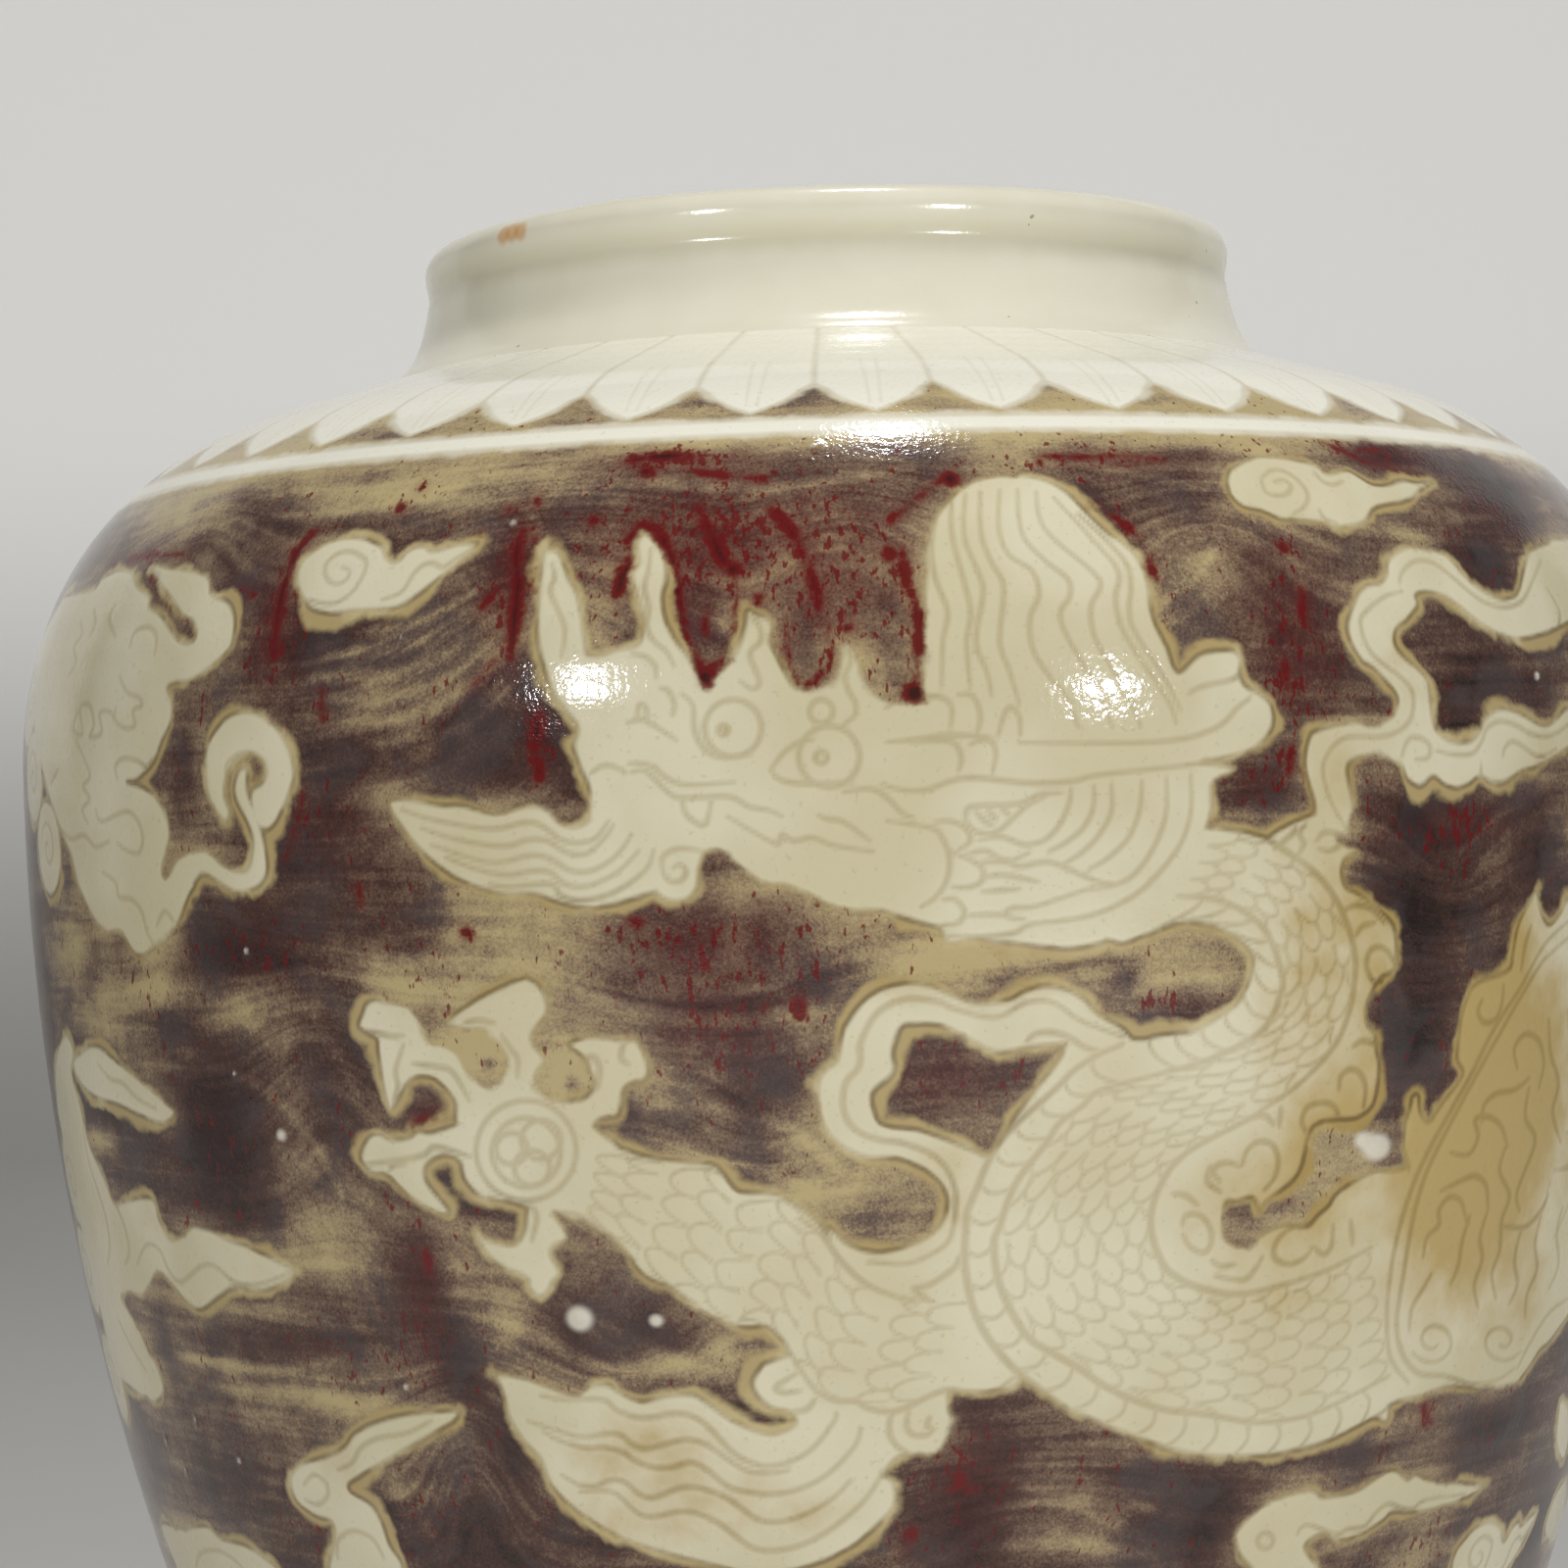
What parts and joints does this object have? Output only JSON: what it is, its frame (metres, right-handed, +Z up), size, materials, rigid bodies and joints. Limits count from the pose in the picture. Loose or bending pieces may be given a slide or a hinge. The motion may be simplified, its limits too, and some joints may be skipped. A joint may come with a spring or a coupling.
{
  "type": "storage jar",
  "caption": "Broad-shouldered wheel-thrown porcelain storage jar with short neck, rolled lip and foot ring, its dragon left pale on a mottled copper-red ground.",
  "frame": {"origin": "centre of the foot ring's standing face, on the floor", "axes": "+Z up along the jar's axis through the mouth, -Y towards the pictured face of the decoration"},
  "size_m": [0.4139, 0.414, 0.445],
  "materials": {
    "painted_glaze": "glossy clear glaze over a mottled copper-red ground with a reserved cream design",
    "clear_glaze": "glossy greenish-cream clear glaze over white porcelain",
    "bare_paste": "unglazed porcelain paste, burnt to a warm buff",
    "luting_slip": "fired slip, matt where it shows inside"
  },
  "bodies": {
    "root": {"lower_body": "painted_glaze", "base_disc": "bare_paste", "base_luting_slip": "luting_slip", "belly_luting_slip": "luting_slip", "upper_body": "painted_glaze", "neck_luting_slip": "luting_slip", "neck_ring": "clear_glaze"}
  },
  "joints": []
}
